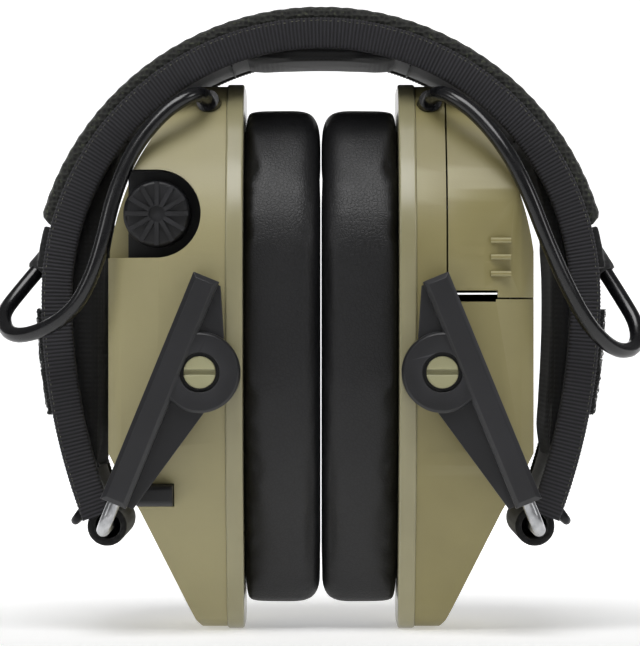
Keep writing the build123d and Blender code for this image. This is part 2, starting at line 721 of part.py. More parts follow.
# ---- left cup: volume knob, its control and the audio socket ----
with BuildPart() as knob:
    with BuildSketch(Plane.XZ.offset(knob_rear_y)):
        with Locations((-knob_d, knob_z)):
            Circle(knob_radius)
            Circle(control_shaft_radius, mode=Mode.SUBTRACT)
    extrude(amount=knob_front_y - knob_rib_height - knob_rear_y - knob_cap)
    with BuildSketch(Plane.XZ.offset(knob_front_y - knob_rib_height - knob_cap)):
        with Locations((-knob_d, knob_z)):
            Circle(knob_radius)
    extrude(amount=knob_cap)
    fillet(knob.faces().sort_by(Axis.Y)[0].outer_wire().edges(), knob_edge_radius)
    with BuildSketch(Plane.XZ.offset(knob_front_y - knob_rib_height - 1.0)):
        with Locations((-knob_d, knob_z)):
            with PolarLocations((knob_radius + knob_rib_inner) / 2 - 0.2, knob_rib_count):
                Rectangle(knob_radius - knob_rib_inner - 0.4, knob_rib_width)
    extrude(amount=1.0 + knob_rib_height)
write(knob, "left_volume_knob")

with BuildPart() as control:
    add(rod((-knob_d, -knob_rear_y - 4.0, knob_z), (0, 1, 0), control_shaft_radius - running_gap, 10.2))
    body_y = (-pocket_floor_y + cup_wall + layer_gap, -pocket_floor_y + cup_wall + control_depth)
    half = control_size / 2
    add(slab(-1, (knob_d - half, knob_d + half), body_y, (knob_z - half, knob_z + half)))
write(control, "left_volume_control")

with BuildPart() as socket:
    add(slab(-1, socket_d, (-socket_y[1], -socket_y[0]), socket_z))
    fillet(socket.edges().filter_by(Axis.X), socket_edge_radius)
    socket_middle_y = -(socket_y[0] + socket_y[1]) / 2
    socket_mouth = (-socket_d[1], socket_middle_y, (socket_z[0] + socket_z[1]) / 2)
    add(rod(socket_mouth, (1, 0, 0), socket_bore_radius, socket_bore_length), mode=Mode.SUBTRACT)
write(socket, "left_audio_socket")

# ---- right cup: battery door, hinge pin, batteries and contacts ----
pin_z = cup_top - door_pin_drop
with BuildPart() as door_space:
    kept = (door_seam_d + door_gap, cup_depth_end + 1), (-cup_half_width - 1, cup_half_width + 1)
    add(slab(1, *kept, (door_bottom_z + door_gap, cup_top + 1)))
    tab_d = (door_tab_start_d + door_gap, cup_depth_end + 1)
    tab_y = (-cup_half_width - 1, -door_tab_inner_y - door_gap)
    add(slab(1, tab_d, tab_y, (door_bottom_z - door_tab_drop + door_gap, cup_top)))

with BuildPart() as door:
    add(cup_body(1, 0, rim_end))
    add(cup_body(1, cup_wall, rim_end - 2), mode=Mode.SUBTRACT)
    lug_root = (door_pin_d, -door_lug_half_width, pin_z)
    add(rod(lug_root, (0, 1, 0), door_lug_radius, 2 * door_lug_half_width))
    lug_d = (door_pin_d - door_lug_radius, door_pin_d + door_lug_radius)
    add(slab(1, lug_d, (-door_lug_half_width, door_lug_half_width), (pin_z, cup_top)))
    add(cup_body(1, 0, rim_end), mode=Mode.INTERSECT)
    add(door_space.part, mode=Mode.INTERSECT)
    for k in range(grip_rib_count):
        low = grip_rib_z + k * grip_rib_pitch
        add(grip_rib(low))
    bore = (door_pin_d, -door_pin_half_length - 2, pin_z)
    bore_length = 2 * door_pin_half_length + 4
    add(rod(bore, (0, 1, 0), door_pin_radius + running_gap, bore_length), mode=Mode.SUBTRACT)
write(door, "right_battery_door")

with BuildPart() as door_pin:
    pin_foot = (door_pin_d, -door_pin_half_length, pin_z)
    add(rod(pin_foot, (0, 1, 0), door_pin_radius, 2 * door_pin_half_length))
write(door_pin, "right_door_pin")

with BuildPart() as batteries:
    for d, z in battery_places:
        can_length = 2 * battery_half_length - battery_nub
        add(rod((d, -battery_half_length, z), (0, 1, 0), battery_radius, can_length))
        add(rod((d, battery_half_length - battery_nub, z), (0, 1, 0), battery_nub_radius, battery_nub))
write(batteries, "right_batteries")

with BuildPart() as contacts:
    for d, z in battery_places:
        for sign in (-1, 1):
            face = (d, sign * (battery_half_length + layer_gap), z)
            add(rod(face, (0, sign, 0), contact_radius, contact_thickness))
write(contacts, "right_battery_contacts")
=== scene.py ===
import math
import random

import bmesh
import bpy
from mathutils import Matrix, Vector


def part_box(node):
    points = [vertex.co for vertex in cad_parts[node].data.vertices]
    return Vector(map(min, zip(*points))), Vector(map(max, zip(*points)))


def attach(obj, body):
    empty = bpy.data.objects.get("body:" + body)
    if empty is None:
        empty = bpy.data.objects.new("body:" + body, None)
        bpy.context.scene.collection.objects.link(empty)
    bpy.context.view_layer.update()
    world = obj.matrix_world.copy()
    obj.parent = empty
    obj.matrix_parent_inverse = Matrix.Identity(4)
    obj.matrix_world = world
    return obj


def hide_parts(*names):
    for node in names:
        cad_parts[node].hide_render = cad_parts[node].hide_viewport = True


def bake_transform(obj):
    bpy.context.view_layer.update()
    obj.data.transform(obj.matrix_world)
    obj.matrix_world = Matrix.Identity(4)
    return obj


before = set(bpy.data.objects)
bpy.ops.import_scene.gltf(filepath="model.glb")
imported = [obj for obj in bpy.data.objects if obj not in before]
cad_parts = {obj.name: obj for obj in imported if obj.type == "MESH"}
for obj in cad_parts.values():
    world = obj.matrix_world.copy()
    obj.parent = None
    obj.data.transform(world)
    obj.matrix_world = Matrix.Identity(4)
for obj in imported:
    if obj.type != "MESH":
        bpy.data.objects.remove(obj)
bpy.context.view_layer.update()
scene = bpy.context.scene
mm = 0.001


def linear(code):
    # sRGB hex to the linear values that the shaders work in
    parts = [int(code[i:i + 2], 16) / 255 for i in (1, 3, 5)]
    return tuple(p / 12.92 if p <= 0.04045 else ((p + 0.055) / 1.055) ** 2.4
                 for p in parts) + (1,)


def addNode(tree, kind, links=None, **values):
    # values starting with i_ are inputs by name, the rest are the node's own settings
    node = tree.nodes.new(kind)
    for key, value in values.items():
        if not key.startswith("i_"):
            setattr(node, key, value)
    for key, value in values.items():
        if key.startswith("i_"):
            node.inputs[key[2:].replace("_", " ")].default_value = value
    for key, source in (links or {}).items():
        tree.links.new(source, node.inputs[key])
    return node


def newMaterial(name, **shaderValues):
    material = bpy.data.materials.new(name)
    material.use_nodes = True
    tree = material.node_tree
    shader = tree.nodes["Principled BSDF"]
    for key, value in shaderValues.items():
        shader.inputs[key.replace("_", " ")].default_value = value
    coords = addNode(tree, "ShaderNodeTexCoord")
    return material, tree, shader, coords.outputs["Object"]


def setRamp(node, stops):
    # stops are (place, colour) pairs
    ramp = node.color_ramp
    while len(ramp.elements) < len(stops):
        ramp.elements.new(0.5)
    for element, (place, colour) in zip(ramp.elements, stops):
        element.position = place
        element.color = colour
    return node


def makeObject(name, bm, material, sharpAngle=None):
    bmesh.ops.recalc_face_normals(bm, faces=bm.faces[:])
    mesh = bpy.data.meshes.new(name)
    bm.to_mesh(mesh)
    bm.free()
    for face in mesh.polygons:
        face.use_smooth = True
    if sharpAngle:
        mesh.set_sharp_from_angle(angle=math.radians(sharpAngle))
    mesh.materials.append(material)
    obj = bpy.data.objects.new(name, mesh)
    scene.collection.objects.link(obj)
    return obj


# ---- materials ----

def mouldedPlastic(name, base, dark, roughness, grain, grainSize=0.35, coat=0.0, edge=None):
    # spark-eroded mould texture, faint flow clouds in the colour and edges painted paler, partly as rubbed wear and
    # partly as a painted highlight
    material, tree, shader, place = newMaterial(name, Coat_Weight=coat, Coat_Roughness=0.25)
    clouds = addNode(tree, "ShaderNodeTexNoise", {"Vector": place}, i_Scale=60.0, i_Detail=3.0)
    tone = setRamp(addNode(tree, "ShaderNodeValToRGB", {"Fac": clouds.outputs["Fac"]}),
                   [(0.3, linear(dark)), (0.7, linear(base))])
    colour = tone.outputs["Color"]
    if edge:
        # painted highlight: convex edges, found by pointiness, are mixed toward the paler edge colour
        form = addNode(tree, "ShaderNodeNewGeometry")
        paintedEdgeHighlight = setRamp(addNode(tree, "ShaderNodeValToRGB", {"Fac": form.outputs["Pointiness"]}),
                      [(0.52, (0, 0, 0, 1)), (0.62, (0.45, 0.45, 0.45, 1))])
        mixed = addNode(tree, "ShaderNodeMix", {0: paintedEdgeHighlight.outputs["Color"], 6: colour}, data_type="RGBA")
        mixed.inputs[7].default_value = linear(edge)
        colour = mixed.outputs[2]
    tree.links.new(colour, shader.inputs["Base Color"])
    fine = addNode(tree, "ShaderNodeTexNoise", {"Vector": place},
                   i_Scale=1 / (grainSize * mm), i_Detail=2.0)
    gloss = addNode(tree, "ShaderNodeMapRange", {"Value": clouds.outputs["Fac"]},
                    i_To_Min=roughness - 0.05, i_To_Max=roughness + 0.06)
    tree.links.new(gloss.outputs["Result"], shader.inputs["Roughness"])
    bump = addNode(tree, "ShaderNodeBump", {"Height": fine.outputs["Fac"]},
                   i_Strength=grain, i_Distance=0.05 * mm)
    tree.links.new(bump.outputs["Normal"], shader.inputs["Normal"])
    return material


def wovenCloth(name, thread, gap, pitch, strength, fuzz=0.25, roughness=0.85):
    # plain weave: crossed threads with a soft sheen from loose fibres
    # the pitch is coarser than the finest real cloth, so that it shows
    material, tree, shader, place = newMaterial(name,
                                                Roughness=roughness, Sheen_Weight=fuzz, Sheen_Roughness=0.5)
    waves = []
    for direction in ("X", "Y", "Z"):
        wave = addNode(tree, "ShaderNodeTexWave", {"Vector": place}, bands_direction=direction,
                       i_Scale=0.314 / (pitch * mm) / 2, i_Distortion=0.6, i_Detail=1.0)
        waves.append(wave.outputs["Fac"])
    first = addNode(tree, "ShaderNodeMath", {0: waves[0], 1: waves[1]}, operation="MAXIMUM")
    height = addNode(tree, "ShaderNodeMath", {0: first.outputs[0], 1: waves[2]}, operation="MULTIPLY")
    blotch = addNode(tree, "ShaderNodeTexNoise", {"Vector": place}, i_Scale=150.0, i_Detail=3.0)
    both = addNode(tree, "ShaderNodeMath", {0: height.outputs[0], 1: blotch.outputs["Fac"]},
                   operation="MULTIPLY")
    tone = setRamp(addNode(tree, "ShaderNodeValToRGB", {"Fac": both.outputs[0]}),
                   [(0.05, linear(gap)), (0.5, linear(thread))])
    tree.links.new(tone.outputs["Color"], shader.inputs["Base Color"])
    bump = addNode(tree, "ShaderNodeBump", {"Height": height.outputs[0]},
                   i_Strength=strength, i_Distance=0.12 * mm)
    tree.links.new(bump.outputs["Normal"], shader.inputs["Normal"])
    return material


def ribbedTape(name, rib, grooveShade, thread):
    # grosgrain: fine cross ribs with a painted highlight on each rib and painted shade in the dark grooves, and
    # threads on each rib
    material, tree, shader, place = newMaterial(name,
                                                Roughness=0.75, Sheen_Weight=0.12, Sheen_Roughness=0.4)
    ribs = addNode(tree, "ShaderNodeAttribute", attribute_name="rib")
    # painted highlight and shade: the rib phase gives the lit rib colour on the ribs and the shaded groove colour
    # between them
    tone = setRamp(addNode(tree, "ShaderNodeValToRGB", {"Fac": ribs.outputs["Fac"]}),
                   [(0.1, linear(grooveShade)), (0.9, linear(rib))])
    strands = addNode(tree, "ShaderNodeTexNoise", {"Vector": place},
                      i_Scale=1 / (thread * mm), i_Detail=2.0)
    worn = addNode(tree, "ShaderNodeTexNoise", {"Vector": place}, i_Scale=70.0, i_Detail=3.0)
    shade = addNode(tree, "ShaderNodeMapRange", {"Value": strands.outputs["Fac"]},
                    i_To_Min=0.55, i_To_Max=1.35)
    fade = addNode(tree, "ShaderNodeMapRange", {"Value": worn.outputs["Fac"]},
                   i_To_Min=0.8, i_To_Max=1.2)
    both = addNode(tree, "ShaderNodeMath", {0: shade.outputs["Result"], 1: fade.outputs["Result"]},
                   operation="MULTIPLY")
    mixed = addNode(tree, "ShaderNodeMix", {6: tone.outputs["Color"], 7: both.outputs[0]}, data_type="RGBA",
                    blend_type="MULTIPLY")
    mixed.inputs[0].default_value = 1.0
    tree.links.new(mixed.outputs[2], shader.inputs["Base Color"])
    bump = addNode(tree, "ShaderNodeBump", {"Height": strands.outputs["Fac"]},
                   i_Strength=0.5, i_Distance=0.06 * mm)
    tree.links.new(bump.outputs["Normal"], shader.inputs["Normal"])
    return material


def spacerMesh(name, thread, hole, fleck, cell):
    # knitted spacer mesh: open round cells between threads, with odd greenish threads
    material, tree, shader, place = newMaterial(name,
                                                Roughness=0.8, Sheen_Weight=0.3, Sheen_Roughness=0.45)
    cells = addNode(tree, "ShaderNodeTexVoronoi", {"Vector": place},
                    i_Scale=1 / (cell * mm), i_Randomness=0.45)
    tone = setRamp(addNode(tree, "ShaderNodeValToRGB", {"Fac": cells.outputs["Distance"]}),
                   [(0.2, linear(hole)), (0.5, linear(thread))])
    specks = addNode(tree, "ShaderNodeTexNoise", {"Vector": place}, i_Scale=1400.0, i_Detail=2.0)
    fleckMask = setRamp(addNode(tree, "ShaderNodeValToRGB", {"Fac": specks.outputs["Fac"]}),
                        [(0.6, (0, 0, 0, 1)), (0.68, (0.55, 0.55, 0.55, 1))])
    mixed = addNode(tree, "ShaderNodeMix", {0: fleckMask.outputs["Color"], 6: tone.outputs["Color"]},
                    data_type="RGBA")
    mixed.inputs[7].default_value = linear(fleck)
    tree.links.new(mixed.outputs[2], shader.inputs["Base Color"])
    bump = addNode(tree, "ShaderNodeBump", {"Height": cells.outputs["Distance"]},
                   i_Strength=0.9, i_Distance=0.5 * mm)
    tree.links.new(bump.outputs["Normal"], shader.inputs["Normal"])
    return material


def leatherette(name, base, pore, roughness=0.42):
    # coated cloth: small pebble grain, fine creases and a soft gloss on the raised parts
    material, tree, shader, place = newMaterial(name, Specular_IOR_Level=0.45)
    pebble = addNode(tree, "ShaderNodeTexVoronoi", {"Vector": place}, feature="DISTANCE_TO_EDGE",
                     i_Scale=1 / (0.75 * mm), i_Randomness=1.0)
    pebbleRamp = setRamp(addNode(tree, "ShaderNodeValToRGB", {"Fac": pebble.outputs["Distance"]}),
                         [(0.0, (0, 0, 0, 1)), (0.16, (1, 1, 1, 1))])
    soft = addNode(tree, "ShaderNodeTexNoise", {"Vector": place}, i_Scale=90.0, i_Detail=4.0)
    tone = addNode(tree, "ShaderNodeMix", {0: pebbleRamp.outputs["Color"]}, data_type="RGBA")
    tone.inputs[6].default_value = linear(pore)
    tone.inputs[7].default_value = linear(base)
    tree.links.new(tone.outputs[2], shader.inputs["Base Color"])
    gloss = addNode(tree, "ShaderNodeMapRange", {"Value": soft.outputs["Fac"]},
                    i_To_Min=roughness - 0.07, i_To_Max=roughness + 0.14)
    tree.links.new(gloss.outputs["Result"], shader.inputs["Roughness"])
    low = addNode(tree, "ShaderNodeBump", {"Height": soft.outputs["Fac"]},
                  i_Strength=0.35, i_Distance=0.5 * mm)
    bump = addNode(tree, "ShaderNodeBump",
                   {"Height": pebbleRamp.outputs["Color"], "Normal": low.outputs["Normal"]},
                   i_Strength=0.4, i_Distance=0.06 * mm)
    tree.links.new(bump.outputs["Normal"], shader.inputs["Normal"])
    return material


def softRubber(name, base, dark, roughness, coat=0.0):
    # smooth extruded or moulded rubber with dusty patches in its gloss
    material, tree, shader, place = newMaterial(name, Coat_Weight=coat, Coat_Roughness=0.15)
    dust = addNode(tree, "ShaderNodeTexNoise", {"Vector": place}, i_Scale=220.0, i_Detail=5.0)
    tone = setRamp(addNode(tree, "ShaderNodeValToRGB", {"Fac": dust.outputs["Fac"]}),
                   [(0.35, linear(dark)), (0.65, linear(base))])
    tree.links.new(tone.outputs["Color"], shader.inputs["Base Color"])
    gloss = addNode(tree, "ShaderNodeMapRange", {"Value": dust.outputs["Fac"]},
                    i_To_Min=roughness - 0.06, i_To_Max=roughness + 0.1)
    tree.links.new(gloss.outputs["Result"], shader.inputs["Roughness"])
    fine = addNode(tree, "ShaderNodeTexNoise", {"Vector": place}, i_Scale=4000.0, i_Detail=1.0)
    bump = addNode(tree, "ShaderNodeBump", {"Height": fine.outputs["Fac"]},
                   i_Strength=0.08, i_Distance=0.03 * mm)
    tree.links.new(bump.outputs["Normal"], shader.inputs["Normal"])
    return material


def bareMetal(name, base, dark, roughness, metal=1.0):
    # drawn or plated metal: fine scratches and cloudy gloss
    material, tree, shader, place = newMaterial(name, Metallic=metal)
    streak = addNode(tree, "ShaderNodeMapping", {"Vector": place})
    streak.inputs["Scale"].default_value = (9000, 900, 900)
    lines = addNode(tree, "ShaderNodeTexNoise", {"Vector": streak.outputs["Vector"]},
                    i_Scale=1.0, i_Detail=2.0)
    cloud = addNode(tree, "ShaderNodeTexNoise", {"Vector": place}, i_Scale=300.0, i_Detail=3.0)
    tone = setRamp(addNode(tree, "ShaderNodeValToRGB", {"Fac": cloud.outputs["Fac"]}),
                   [(0.35, linear(dark)), (0.6, linear(base))])
    tree.links.new(tone.outputs["Color"], shader.inputs["Base Color"])
    gloss = addNode(tree, "ShaderNodeMapRange", {"Value": lines.outputs["Fac"]},
                    i_To_Min=roughness - 0.06, i_To_Max=roughness + 0.12)
    tree.links.new(gloss.outputs["Result"], shader.inputs["Roughness"])
    bump = addNode(tree, "ShaderNodeBump", {"Height": lines.outputs["Fac"]},
                   i_Strength=0.1, i_Distance=0.02 * mm)
    tree.links.new(bump.outputs["Normal"], shader.inputs["Normal"])
    return material


finish = {
    # each edge= colour is the painted highlight along that moulding's edges
    "shellAbs": mouldedPlastic("oliveMouldedAbs", "#8E8557", "#857C50", 0.42, 0.25, 0.3, edge="#B3AC88"),
    "rimAbs": mouldedPlastic("paleOliveMouldedAbs", "#968F6A", "#8B845F", 0.3, 0.12, 0.3,
                             coat=0.4, edge="#C9C9B5"),
    "screwAbs": mouldedPlastic("screwNylon", "#A3A07A", "#8F8C68", 0.38, 0.2, 0.25, edge="#C4C2A4"),
    "armNylon": mouldedPlastic("blackGlassNylon", "#1E1E21", "#18181A", 0.36, 0.25, 0.3, edge="#5A5A5E"),
    "innerAbs": mouldedPlastic("blackMouldedAbs", "#1B1B1C", "#141415", 0.45, 0.3, 0.3, edge="#3A3A3C"),
    "knobRubber": softRubber("knobRubber", "#242427", "#19191B", 0.42),
    "cableRubber": softRubber("cableSheath", "#0F0F12", "#0A0A0C", 0.24, coat=0.3),
    "leather": leatherette("cushionLeatherette", "#19191B", "#0E0E0F"),
    "lining": wovenCloth("linerCloth", "#151517", "#080809", 0.5, 0.5, fuzz=0.15),
    "cover": wovenCloth("coverCloth", "#1C1C1E", "#0C0C0D", 0.6, 0.6),
    "mesh": spacerMesh("spacerMesh", "#282925", "#0A0A0A", "#4F5440", 1.1),
    "foam": wovenCloth("grosgrainGround", "#131315", "#070708", 0.7, 0.5),
    "tape": ribbedTape("grosgrain", "#2B2A30", "#08080A", 0.12),
    "pile": wovenCloth("loopPile", "#1D1D1E", "#101011", 0.3, 0.3, fuzz=0.5),
    "webbing": wovenCloth("loopWebbing", "#151517", "#070708", 0.7, 0.8, fuzz=0.2),
    "thread": wovenCloth("stitchThread", "#7E7E6C", "#4A4A3E", 0.2, 0.5, fuzz=0.2),
    "wire": bareMetal("steelWire", "#C6C7C9", "#9EA0A3", 0.28),
    "springWire": bareMetal("blackenedSpringWire", "#3A3A3C", "#1C1C1E", 0.35, metal=0.9),
    "plated": bareMetal("nickelPlate", "#CFCBC0", "#A9A598", 0.25),
    "linerFoam": wovenCloth("openCellFoam", "#3A3A3A", "#101010", 1.1, 1.0, fuzz=0.1, roughness=0.95),
    "board": mouldedPlastic("boardLaminate", "#1F5A34", "#184A2A", 0.4, 0.2, 0.5),
    "sleeve": mouldedPlastic("batterySleeve", "#2F3338", "#282B30", 0.3, 0.05, 0.5, coat=0.4),
}
print("materials ready", len(finish))

cadFinish = {
    "cup_shell": "shellAbs", "cup_rim": "rimAbs", "pivot_screws": "screwAbs", "front_arm": "armNylon",
    "rear_arm": "armNylon", "cushion_plate": "innerAbs", "speaker": "innerAbs", "circuit_board": "board",
    "microphone": "plated", "volume_knob": "knobRubber", "volume_control": "plated",
    "audio_socket": "innerAbs",
    "battery_door": "shellAbs", "door_pin": "plated", "batteries": "sleeve", "battery_contacts": "plated",
    "yoke_wire": "wire", "spring_wire": "springWire", "spring_wires": "springWire",
    "cable_gland": "cableRubber",
    "foam_liner": "linerFoam",
}
for name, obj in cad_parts.items():
    key = name.split("_", 1)[1] if name.split("_", 1)[0] in ("left", "right", "crown") else name
    if key in cadFinish:
        for i in range(max(1, len(obj.data.materials))):
            if len(obj.material_slots) > i:
                obj.material_slots[i].link = "OBJECT"
                obj.material_slots[i].material = finish[cadFinish[key]]
            else:
                obj.data.materials.append(finish[cadFinish[key]])
print("cad finishes set")

def bevelledCopy(node, body, width, angle=32, segments=2):
    # a CAD moulding with its sharp edges broken, as a mould leaves them
    bm = bmesh.new()
    bm.from_mesh(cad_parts[node].data)
    bmesh.ops.remove_doubles(bm, verts=bm.verts[:], dist=2e-6)
    bmesh.ops.dissolve_limit(bm, angle_limit=math.radians(0.6), verts=bm.verts[:], edges=bm.edges[:])
    sharp = [e for e in bm.edges if len(e.link_faces) == 2 and e.calc_face_angle(0) > math.radians(angle)
             and e.calc_length() > width * 0.5]
    bmesh.ops.bevel(bm, geom=sharp, offset=width, segments=segments, profile=0.5,
                    affect="EDGES", material=-1, clamp_overlap=True)
    words = node.split("_")
    key = "_".join(words[1:])
    name = words[0] + "".join(w.title() for w in words[1:])
    obj = makeObject(name, bm, finish[cadFinish[key]], 38)
    weighted = obj.modifiers.new("evenShading", "WEIGHTED_NORMAL")
    weighted.keep_sharp = True
    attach(obj, body)
    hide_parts(node)
    return obj


mouldings = {  # node: body and how far its edges are broken
    "left_cup_shell": ("left_cup", 0.5 * mm), "right_cup_shell": ("right_cup", 0.3 * mm),
    "right_battery_door": ("battery_door", 0.25 * mm), "left_cup_rim": ("left_cup", 0.45 * mm),
    "right_cup_rim": ("right_cup", 0.45 * mm), "left_front_arm": ("left_yoke", 0.3 * mm),
    "left_rear_arm": ("left_yoke", 0.3 * mm), "right_front_arm": ("right_yoke", 0.3 * mm),
    "right_rear_arm": ("right_yoke", 0.3 * mm), "left_pivot_screws": ("left_cup", 0.2 * mm),
    "right_pivot_screws": ("right_cup", 0.2 * mm), "left_volume_knob": ("volume_knob", 0.12 * mm),
    "left_audio_socket": ("left_cup", 0.2 * mm),
}
for node, (body, width) in mouldings.items():
    piece = bevelledCopy(node, body, width)
    print(piece.name, len(piece.data.polygons), "faces")
print("mouldings broken at the edges")

# painted shade: a black lining laid in the volume knob's pocket, standing in for the deep shade inside it
well = {"across": -32.6 * mm, "height": 83.9 * mm, "radius": 8.7 * mm,
        "floor": -27.08 * mm, "lip": -37.8 * mm, "openTo": -38.6 * mm}
bm = bmesh.new()
bmesh.ops.create_circle(bm, segments=64, radius=well["radius"], cap_ends=True,
                        matrix=Matrix.Translation((well["across"], well["floor"], well["height"])) @
                        Matrix.Rotation(math.radians(90), 4, "X"))
bmesh.ops.bisect_plane(bm, geom=bm.verts[:] + bm.edges[:] + bm.faces[:], dist=1e-7,
                       plane_co=(well["across"], 0, 0), plane_no=(-1, 0, 0), clear_outer=True)
cut = [e for e in bm.edges if all(abs(v.co.x - well["across"]) < 1e-6 for v in e.verts)]
grown = bmesh.ops.extrude_edge_only(bm, edges=cut)["geom"]
ends = [v for v in grown if isinstance(v, bmesh.types.BMVert)]
bmesh.ops.translate(bm, verts=ends, vec=(well["openTo"] - well["across"], 0, 0))
wall = [e for e in bm.edges if e.is_boundary and not all(v in ends for v in e.verts)]
raised = bmesh.ops.extrude_edge_only(bm, edges=wall)["geom"]
bmesh.ops.translate(bm, verts=[v for v in raised if isinstance(v, bmesh.types.BMVert)],
                    vec=(0, well["lip"] - well["floor"], 0))
knobWell = makeObject("knobWell", bm, finish["innerAbs"], 40)
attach(knobWell, "left_cup")

# ---- camera, floor and light ----

camera = bpy.data.objects.new("camera", bpy.data.cameras.new("camera"))
camera.location = (-0.2 * mm, -1.0, 62.2 * mm)
camera.rotation_euler = (math.radians(90), 0, 0)
camera.data.lens = 270.5
camera.data.sensor_width = 36
scene.collection.objects.link(camera)
scene.camera = camera

stagePaper = newMaterial("stagePaper", Base_Color=(0.9, 0.9, 0.9, 1), Roughness=0.9,
                         Emission_Color=(1, 1, 1, 1))[0]
stageTree = stagePaper.node_tree
distance = addNode(stageTree, "ShaderNodeSeparateXYZ",
                   {"Vector": addNode(stageTree, "ShaderNodeTexCoord").outputs["Object"]})
glow = addNode(stageTree, "ShaderNodeMapRange", {"Value": distance.outputs["Y"]},
               interpolation_type="SMOOTHSTEP",
               i_From_Min=-0.3, i_From_Max=0.55, i_To_Min=0.12, i_To_Max=1.0)
stageTree.links.new(glow.outputs["Result"], stageTree.nodes["Principled BSDF"].inputs["Emission Strength"])
bm = bmesh.new()
edge = [bm.verts.new((-6, -6, 0)), bm.verts.new((6, -6, 0))]
line = bm.edges.new(edge)
flat = bmesh.ops.extrude_edge_only(bm, edges=[line])
moved = [v for v in flat["geom"] if isinstance(v, bmesh.types.BMVert)]
bmesh.ops.translate(bm, verts=moved, vec=(0, 9, 0))
rim = [e for e in flat["geom"] if isinstance(e, bmesh.types.BMEdge) and all(v in moved for v in e.verts)]
bmesh.ops.spin(bm, geom=moved + rim, cent=(0, 3, 3), axis=(1, 0, 0), angle=math.radians(90), steps=16)
floor = makeObject("studioFloor", bm, stagePaper)

world = bpy.data.worlds.new("studioAir")
scene.world = world
world.use_nodes = True
world.node_tree.nodes["Background"].inputs["Color"].default_value = (1, 1, 1, 1)
world.node_tree.nodes["Background"].inputs["Strength"].default_value = 0.12
scene.view_settings.view_transform = "Standard"

lamps = {
    "overhead": {"place": (-0.1, -0.75, 1.3), "aim": (0, 0, 0.08), "size": 0.9, "power": 13.5},
    "frontLeft": {"place": (-1.3, -1.0, 0.8), "aim": (0, 0, 0.08), "size": 0.5, "power": 3.0},
    "frontRight": {"place": (1.4, -0.9, 0.8), "aim": (0, 0, 0.08), "size": 0.5, "power": 3.0},
}
for name, lamp in lamps.items():
    light = bpy.data.lights.new(name, "AREA")
    light.size = lamp["size"]
    light.energy = lamp["power"]
    obj = bpy.data.objects.new(name, light)
    obj.location = lamp["place"]
    aim = Vector(lamp["aim"]) - Vector(lamp["place"])
    obj.rotation_euler = aim.to_track_quat("-Z", "Y").to_euler()
    scene.collection.objects.link(obj)
print("camera and light ready")

# ---- the two free cables ----

cables = {
    "radius": 1.55 * mm,
    "leftRoute": [(-22.8, -25.4, 106.9), (-23.6, -29.2, 108.2), (-26.6, -32.4, 107.4), (-31.6, -33.8, 104.0),
                  (-37.4, -35.6, 96.8), (-41.1, -37.6, 87.6), (-43.0, -39.3, 79.2), (-45.2, -39.8, 71.6),
                  (-49.0, -39.3, 64.6), (-55.6, -35.8, 60.4), (-62.2, -30.2, 59.4), (-64.4, -23.6, 63.6),
                  (-61.2, -19.4, 68.2), (-57.6, -17.0, 72.6)],
    "rightRoute": [(22.0, -25.5, 106.9), (22.7, -29.3, 108.4), (26.2, -33.0, 107.4), (31.4, -35.2, 103.4),
                   (36.9, -38.4, 96.4), (41.1, -39.8, 88.0), (44.4, -40.0, 79.2), (48.6, -39.8, 69.6),
                   (53.0, -38.0, 61.6), (58.4, -33.2, 56.6), (63.2, -26.6, 56.8), (63.9, -22.0, 61.6),
                   (60.8, -18.8, 67.2), (57.6, -17.0, 72.4)],
    "leftLength": 92.7 * mm, "rightLength": 97.4 * mm,  # the real cables, as the CAD tubes have them
    "halfWay": 0.5,  # share of the cable in the upper piece, up to the soft middle
}


def cableCurve(name, route, radius):
    curve = bpy.data.curves.new(name, "CURVE")
    curve.dimensions = "3D"
    spline = curve.splines.new("NURBS")
    spline.points.add(len(route) - 1)
    for point, spot in zip(spline.points, route):
        point.co = (*[c * mm for c in spot], 1)
    spline.order_u = 3
    spline.use_endpoint_u = True
    spline.resolution_u = 8
    curve.bevel_depth = radius
    curve.bevel_resolution = 4
    return bpy.data.objects.new(name, curve)


def newestMesh(obj):
    # the object's mesh with its modifiers worked out
    bpy.context.view_layer.update()
    shown = obj.evaluated_get(bpy.context.evaluated_depsgraph_get())
    return bpy.data.meshes.new_from_object(shown)


def evaluated(obj):
    scene.collection.objects.link(obj)
    mesh = newestMesh(obj)
    scene.collection.objects.unlink(obj)
    return mesh


def makeCable(side, route):
    line = [v.co.copy() for v in evaluated(cableCurve("route", route, 0.0)).vertices]
    tube = evaluated(cableCurve("tube", route, cables["radius"]))
    ring = len(tube.vertices) // len(line)
    cut = int(len(line) * cables["halfWay"])
    for part, first, last, bodies in (("Upper", 0, cut, ("cup", "yoke")),
                                      ("Lower", cut, len(line) - 1, ("yoke", "side"))):
        bm = bmesh.new()
        bm.from_mesh(tube)
        bm.verts.ensure_lookup_table()
        spare = [v for v in bm.verts if not first <= v.index // ring <= last]
        bmesh.ops.delete(bm, geom=spare, context="VERTS")
        bmesh.ops.holes_fill(bm, edges=[e for e in bm.edges if e.is_boundary], sides=0)
        name = side + "Cable" + part
        obj = makeObject(name, bm, finish["cableRubber"], 50)
        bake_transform(obj)
    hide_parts(side + "_cable")


for side in ("left", "right"):
    makeCable(side, cables[side + "Route"])
print("cables laid")

# ---- the fabric headband ----

band = {
    "outerRadius": 55.7 * mm,
    "centreHeight": 67.4 * mm,
    "lowerRadius": 125 * mm,
    "lowerCentre": 69.3 * mm,
    "thickness": 5.5 * mm,
    "halfWidth": 26.05 * mm,
    "endBend": 111,
    "jointStart": (12 * mm, 122 * mm),  # across and up, where the crown starts to give
    "jointEnd": (42 * mm, 98 * mm),
}
sideSign = {"left": -1, "right": 1}


